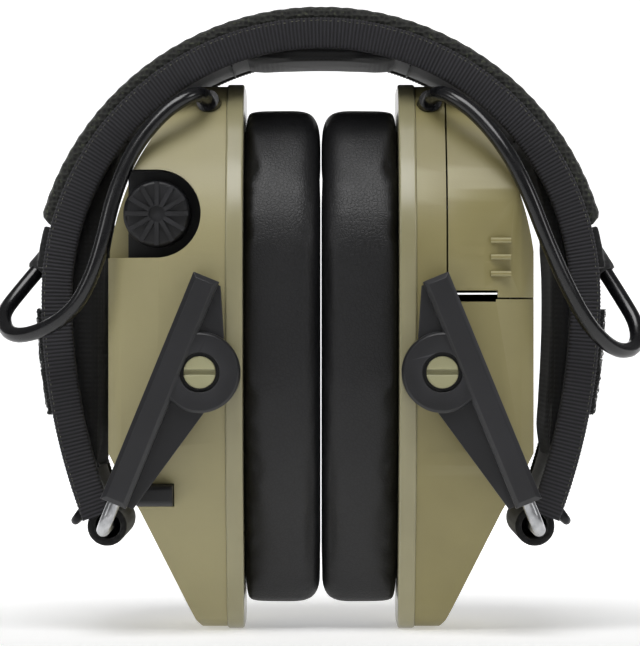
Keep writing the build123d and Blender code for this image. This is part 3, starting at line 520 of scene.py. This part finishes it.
def onBand(sign, bend, y, depth):
    # a point at an angle from the top, across the strap and below its outer face
    if bend <= 90:
        turn = math.radians(bend)
        reach = band["outerRadius"] - depth
        return Vector((sign * reach * math.sin(turn), y, band["centreHeight"] + reach * math.cos(turn)))
    turn = math.radians(bend - 90)
    reach = band["lowerRadius"] - depth
    return Vector((sign * (reach * math.cos(turn) - band["lowerCentre"]), y,
                   band["centreHeight"] - reach * math.sin(turn)))


def offBand(spot):
    # the reverse: angle from the top, place across and depth of a point
    across, up = abs(spot.x), spot.z - band["centreHeight"]
    if up >= 0:
        depth = band["outerRadius"] - math.hypot(across, up)
        return math.degrees(math.atan2(across, up)), spot.y, depth
    reach = math.hypot(across + band["lowerCentre"], up)
    bend = 90 + math.degrees(math.atan2(-up, across + band["lowerCentre"]))
    return bend, spot.y, band["lowerRadius"] - reach


def arcLength(bend):
    # along the strap's outer face from the top
    upper = math.radians(min(bend, 90)) * band["outerRadius"]
    return upper + math.radians(max(bend - 90, 0)) * band["lowerRadius"]


def sweepBand(sign, section, startBend, endBend, ringLength, capStart=True, capEnd=True):
    # section is a filled face at the top of the band; its border is spun along both arcs
    bm = section
    bm.faces.ensure_lookup_table()
    faces = bm.faces[:]
    border = [e for e in bm.edges if e.is_boundary]
    inner = [e for e in bm.edges if not e.is_boundary]
    bmesh.ops.delete(bm, geom=faces, context="FACES_ONLY")
    bmesh.ops.delete(bm, geom=inner, context="EDGES")
    centre = Vector((0, 0, band["centreHeight"]))
    low = Vector((-sign * band["lowerCentre"], 0, band["centreHeight"]))
    turned = min(startBend, 90)
    bmesh.ops.rotate(bm, cent=centre, verts=bm.verts[:],
                     matrix=Matrix.Rotation(math.radians(turned) * sign, 3, "Y"))
    if startBend > 90:
        bmesh.ops.rotate(bm, cent=low, verts=bm.verts[:],
                         matrix=Matrix.Rotation(math.radians(startBend - 90) * sign, 3, "Y"))
    geom = bm.verts[:] + border
    for middle, begin, end, radius in ((centre, min(startBend, 90), min(endBend, 90), band["outerRadius"]),
                                       (low, max(startBend, 90), max(endBend, 90), band["lowerRadius"])):
        if end - begin < 0.01:
            continue
        steps = max(1, round(math.radians(end - begin) * radius / ringLength))
        spun = bmesh.ops.spin(bm, geom=geom, cent=middle, axis=(0, sign, 0),
                              angle=math.radians(end - begin), steps=steps)
        geom = spun["geom_last"]
    ends = [e for e in bm.edges if e.is_boundary]
    for wanted, bend in ((capStart, startBend), (capEnd, endBend)):
        loop = [e for e in ends if all(abs(offBand(v.co)[0] - bend) < 0.2 for v in e.verts)]
        if wanted and loop:
            bmesh.ops.holes_fill(bm, edges=loop, sides=0)
    bmesh.ops.recalc_face_normals(bm, faces=bm.faces[:])
    return bm


def stripSection(halfWidth, top, bottom, rounding, cuts=6, segments=3, middle=0.0):
    # a rounded rectangle across the strap, depths counted inward from the outer face
    bm = bmesh.new()
    height = band["centreHeight"] + band["outerRadius"]
    corners = [bm.verts.new((0, middle + y, height - depth)) for y, depth in
               ((-halfWidth, top), (halfWidth, top), (halfWidth, bottom), (-halfWidth, bottom))]
    bm.faces.new(corners)
    long = [e for e in bm.edges if abs(e.verts[0].co.y - e.verts[1].co.y) > 1e-6]
    if rounding:
        bmesh.ops.bevel(bm, geom=bm.verts[:], offset=rounding, segments=segments, profile=0.5,
                        affect="VERTICES")
        long = [e for e in bm.edges if abs(e.verts[0].co.y - e.verts[1].co.y) > halfWidth]
    if cuts:
        bmesh.ops.subdivide_edges(bm, edges=long, cuts=cuts)
    return bm


def reshape(bm, sign, rule):
    # moves every point by a rule on its angle, place across and depth
    for v in bm.verts:
        bend, y, depth = offBand(v.co)
        v.co = onBand(sign, *rule(bend, y, depth))


def acrossJoint(obj):
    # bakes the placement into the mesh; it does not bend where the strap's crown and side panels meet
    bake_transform(obj)


core = {"edgeRound": 1.0 * mm}
for side, sign in sideSign.items():
    bm = sweepBand(sign, stripSection(band["halfWidth"] - 0.1 * mm, 0.15 * mm, band["thickness"] - 0.15 * mm,
                                      core["edgeRound"], cuts=8),
                   0, band["endBend"] - 0.2, 1.6 * mm, capStart=False)
    strap = makeObject(side + "StrapCore", bm, finish["foam"], 50)
    acrossJoint(strap)
    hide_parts(side + "_band_core", *(["crown_core"] if side == "left" else []))
print("strap core")

outerPad = {
    "thickness": 3.2 * mm, "halfWidth": 24 * mm, "endBend": 75, "rounding": 1.3 * mm,
    "crowning": 0.5 * mm, "endTaper": 2.2, "endHeight": 0.35,
    "dimple": 0.12 * mm, "dimplePitch": 3.1 * mm,
}
for side, sign in sideSign.items():
    bm = sweepBand(sign, stripSection(outerPad["halfWidth"], -outerPad["thickness"], 0.1 * mm,
                                      outerPad["rounding"], cuts=10), 0, outerPad["endBend"], 1.0 * mm, capStart=False)

    def softTop(bend, y, depth):
        # crowned across and rounded off at the free end, with slight sewing dimples at the border
        if depth < 0:
            across = abs(y) / outerPad["halfWidth"]
            depth += outerPad["crowning"] * across ** 4
            rest = (outerPad["endBend"] - bend) / outerPad["endTaper"]
            if rest < 1:
                full = math.sqrt(max(0.0, 1 - (1 - rest) ** 2))
                depth *= outerPad["endHeight"] + (1 - outerPad["endHeight"]) * full
            seam = math.sin(arcLength(bend) / outerPad["dimplePitch"] * math.pi * 2)
            depth += outerPad["dimple"] * seam * across ** 6
        return bend, y, depth

    reshape(bm, sign, softTop)
    pad = makeObject(side + "OuterPad", bm, finish["mesh"], 60)
    acrossJoint(pad)
    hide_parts(side + "_outer_pad", *(["crown_outer_pad"] if side == "left" else []))
print("outer pads")

binding = {
    "inside": 26.05 * mm, "outside": 28.05 * mm, "wrap": 0.4 * mm, "rounding": 0.8 * mm,
    "ribPitch": 0.77 * mm, "ribHeight": 0.22 * mm, "ribFrom": 1.2 * mm,
}
for side, sign in sideSign.items():
    for face, out in (("Front", -1), ("Rear", 1)):
        middle = out * (binding["inside"] + binding["outside"]) / 2
        halfWidth = (binding["outside"] - binding["inside"]) / 2
        ringLength = binding["ribPitch"] / 4
        bm = sweepBand(sign, stripSection(halfWidth, -binding["wrap"], band["thickness"] + binding["wrap"],
                                          binding["rounding"], cuts=0, middle=middle),
                       0, band["endBend"], ringLength, capStart=False)

        def ribs(bend, y, depth):
            # the rings between two ribs sit lower
            rib = math.cos(arcLength(bend) / binding["ribPitch"] * math.pi * 2)
            drop = binding["ribHeight"] * (0.5 - 0.5 * rib)
            outerFace = abs(y) > binding["inside"] + binding["ribFrom"]
            y -= math.copysign(drop, out) if outerFace else 0
            depth += drop * (0.6 if depth < band["thickness"] / 2 else -0.6)
            return bend, y, depth

        reshape(bm, sign, ribs)
        # the rib phase, which the grosgrain material turns into a painted highlight on the ribs and painted shade in
        # the grooves
        ribShadingLayer = bm.verts.layers.float.new("rib")
        for v in bm.verts:
            turns = arcLength(offBand(v.co)[0]) / binding["ribPitch"]
            v[ribShadingLayer] = 0.5 + 0.5 * math.cos(turns * math.pi * 2)
        tape = makeObject(side + "Binding" + face, bm, finish["tape"], 60)
        acrossJoint(tape)
        tail = "_binding_" + face.lower()
        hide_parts(side + tail, *(["crown" + tail] if side == "left" else []))
print("bindings")


def cadCopy(node):
    # a merged copy of a CAD node's mesh to build a softer or finer piece on
    bm = bmesh.new()
    bm.from_mesh(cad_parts[node].data)
    bmesh.ops.remove_doubles(bm, verts=bm.verts[:], dist=1e-6)
    return bm


def applyModifiers(obj):
    mesh = newestMesh(obj)
    obj.modifiers.clear()
    obj.data = mesh
    for face in mesh.polygons:
        face.use_smooth = True


def softenCopy(name, node, material, voxel, relax, shrink=0.0, cap=0.0, pressure=4.0):
    # remeshed copy of a soft CAD solid, smoothed and then blown up like stuffed cloth
    obj = makeObject(name, cadCopy(node), material)
    remesh = obj.modifiers.new("evenFaces", "REMESH")
    remesh.mode = "VOXEL"
    remesh.voxel_size = voxel
    smooth = obj.modifiers.new("relax", "SMOOTH")
    smooth.factor = 0.5
    smooth.iterations = relax
    applyModifiers(obj)
    if cap:
        mesh = obj.data
        for v, normal in [(v, v.normal.copy()) for v in mesh.vertices]:
            v.co -= normal * shrink
        start = [v.co.copy() for v in mesh.vertices]
        cloth = obj.modifiers.new("stuffing", "CLOTH")
        cloth.settings.quality = 4
        cloth.settings.use_pressure = True
        cloth.settings.uniform_pressure_force = pressure
        cloth.settings.effector_weights.gravity = 0
        cloth.settings.tension_stiffness = 8
        cloth.settings.bending_stiffness = 0.2
        for step in range(1, 21):
            scene.frame_set(step)
        swollen = obj.evaluated_get(bpy.context.evaluated_depsgraph_get())
        ends = [v.co.copy() for v in swollen.to_mesh().vertices]
        swollen.to_mesh_clear()
        obj.modifiers.clear()
        scene.frame_set(1)
        for v, a, b in zip(mesh.vertices, start, ends):
            move = b - a
            v.co = a + move * min(1.0, cap / max(move.length, 1e-9))
    return obj


def finer(obj, levels=1):
    fine = obj.modifiers.new("finer", "SUBSURF")
    fine.levels = levels
    fine.render_levels = levels
    return obj


cushions = {
    "voxel": 1.5 * mm, "relax": 2, "shrink": 0.25 * mm, "cap": 0.9 * mm, "pressure": 8.0,
    "gap": 0.1 * mm, "back": 15.4 * mm, "spread": 0.4 * mm,
}
for side, sign in sideSign.items():
    pad = softenCopy(side + "EarCushion", side + "_ear_cushion", finish["leather"], cushions["voxel"],
                     cushions["relax"], cushions["shrink"], cushions["cap"], cushions["pressure"])
    low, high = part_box(side + "_ear_cushion")
    for v in pad.data.vertices:
        v.co.x = sign * min(max(sign * v.co.x, cushions["gap"]), cushions["back"])
        v.co.y = min(max(v.co.y, low.y - cushions["spread"]), high.y + cushions["spread"])
    finer(pad)
    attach(pad, side + "_cup")
    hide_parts(side + "_ear_cushion")
    print(pad.name, len(pad.data.polygons), "faces")

sidePads = {"voxel": 1.3 * mm, "relax": 4, "shrink": 0.5 * mm, "cap": 0.6 * mm, "pressure": 4.0}
underCovers = {"voxel": 0.5 * mm, "relax": 2}
endLoops = {"voxel": 0.45 * mm, "relax": 3}
for side, sign in sideSign.items():
    pad = softenCopy(side + "SidePad", side + "_inner_pad", finish["lining"], sidePads["voxel"],
                     sidePads["relax"], sidePads["shrink"], sidePads["cap"], sidePads["pressure"])
    finer(pad)
    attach(pad, side + "_side")
    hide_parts(side + "_inner_pad")
    cover = softenCopy(side + "UnderCover", side + "_under_cover", finish["cover"],
                       underCovers["voxel"], underCovers["relax"])
    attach(cover, side + "_side")
    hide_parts(side + "_under_cover")
    loop = softenCopy(side + "EndLoop", side + "_end_loop", finish["webbing"],
                      endLoops["voxel"], endLoops["relax"])
    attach(loop, side + "_side")
    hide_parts(side + "_end_loop")
crownLining = {"voxel": 1.0 * mm, "relax": 3, "shrink": 0.3 * mm, "cap": 0.4 * mm}
crownPad = softenCopy("crownInnerPad", "crown_inner_pad", finish["lining"], *crownLining.values())
finer(crownPad)
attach(crownPad, "crown")
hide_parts("crown_inner_pad")
print("pads stuffed")


def scatter(bm, template, places):
    # one small mesh put down at each matrix
    for matrix in places:
        template.transform(matrix)
        bm.from_mesh(template)
        template.transform(matrix.inverted())


def templateMesh(bm):
    mesh = bpy.data.meshes.new("template")
    bm.to_mesh(mesh)
    bm.free()
    return mesh


patch = {"bends": (91.2, 100.8), "halfWidth": 20 * mm, "baseDepth": -1.5 * mm,
         "loops": 1500, "loopRadius": 0.42 * mm, "threadRadius": 0.075 * mm,
         "lean": 0.7, "sway": 0.6, "sizes": (0.7, 1.15), "edgeEvery": 5}
bm = bmesh.new()
bmesh.ops.create_circle(bm, segments=3, radius=patch["threadRadius"],
                        matrix=Matrix.Translation((patch["loopRadius"], 0, 0)) @
                        Matrix.Rotation(math.radians(90), 4, "X"))
bmesh.ops.spin(bm, geom=bm.verts[:] + bm.edges[:], cent=(0, 0, 0), axis=(0, 1, 0),
               angle=math.radians(-200), steps=6)
pileLoop = templateMesh(bm)  # fewer, thicker loops than real pile, which would be too fine to draw
for side, sign in sideSign.items():
    rng = random.Random(7 if side == "left" else 11)
    bm = sweepBand(sign, stripSection(patch["halfWidth"], patch["baseDepth"], -0.02 * mm, 0.35 * mm, cuts=14),
                   *patch["bends"], 0.8 * mm)

    def ragged(bend, y, depth):
        # uneven outline of a cut pile patch
        wave = math.sin(y * 900 + bend) + math.sin(y * 2300 + bend * 2)
        if depth < -0.5 * mm:
            depth += 0.12 * mm * wave
        return bend + 0.06 * wave, y + 0.15 * mm * math.sin(bend * 9), depth

    reshape(bm, sign, ragged)
    places = []
    for i in range(patch["loops"]):
        bend = rng.uniform(*patch["bends"])
        y = rng.uniform(-patch["halfWidth"], patch["halfWidth"])
        depth = patch["baseDepth"] + 0.1 * mm
        if i % patch["edgeEvery"] == 0:
            # more loops along the edge that shows
            y = -patch["halfWidth"] + rng.uniform(0, 0.5) * mm
            depth = rng.uniform(-0.2 * mm, patch["baseDepth"])
        root = onBand(sign, bend, y, depth)
        out = (onBand(sign, bend, 0, -1 * mm) - onBand(sign, bend, 0, 0)).normalized()
        tilt = Matrix.Rotation(rng.uniform(-patch["lean"], patch["lean"]), 4, "X") @ \
            Matrix.Rotation(rng.uniform(-patch["sway"], patch["sway"]), 4, "Y")
        frameUp = out.to_track_quat("Z", "Y").to_matrix().to_4x4()
        size = rng.uniform(*patch["sizes"])
        spin = Matrix.Rotation(rng.uniform(0, 6.28), 4, "Z")
        places.append(Matrix.Translation(root) @ frameUp @ spin @ tilt @ Matrix.Scale(size, 4))
    scatter(bm, pileLoop, places)
    pile = makeObject(side + "HookPatch", bm, finish["pile"])
    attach(pile, side + "_side")
    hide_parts(side + "_hook_patch")
print("hook patches")

stitches = {"pitch": 1.3 * mm, "length": 0.95 * mm, "radius": 0.13 * mm,
            "depth": 0.3 * mm, "face": 27.86 * mm, "wander": 0.08}
bm = bmesh.new()
bmesh.ops.create_uvsphere(bm, u_segments=6, v_segments=4, radius=1.0)
bmesh.ops.scale(bm, vec=(stitches["radius"], stitches["radius"] * 0.7, stitches["length"] / 2),
                verts=bm.verts[:])
oneStitch = templateMesh(bm)
for side, sign in sideSign.items():
    rng = random.Random(3 if side == "left" else 5)
    bm = bmesh.new()
    places = []
    bend = 0.8
    while bend < band["endBend"] - 1.5:
        for out in (-1, 1):
            wander = rng.uniform(-stitches["wander"], stitches["wander"]) * mm
            spot = onBand(sign, bend, out * stitches["face"], stitches["depth"] + wander)
            ahead = onBand(sign, bend + 0.5, out * stitches["face"], stitches["depth"])
            turn = (ahead - spot).normalized().to_track_quat("Z", "Y").to_matrix().to_4x4()
            places.append(Matrix.Translation(spot) @ turn)
        radius = band["outerRadius"] if bend < 90 else band["lowerRadius"]
        bend += math.degrees(stitches["pitch"] / radius)
    scatter(bm, oneStitch, places)
    seam = makeObject(side + "BindingStitches", bm, finish["thread"])
    acrossJoint(seam)
print("stitches")
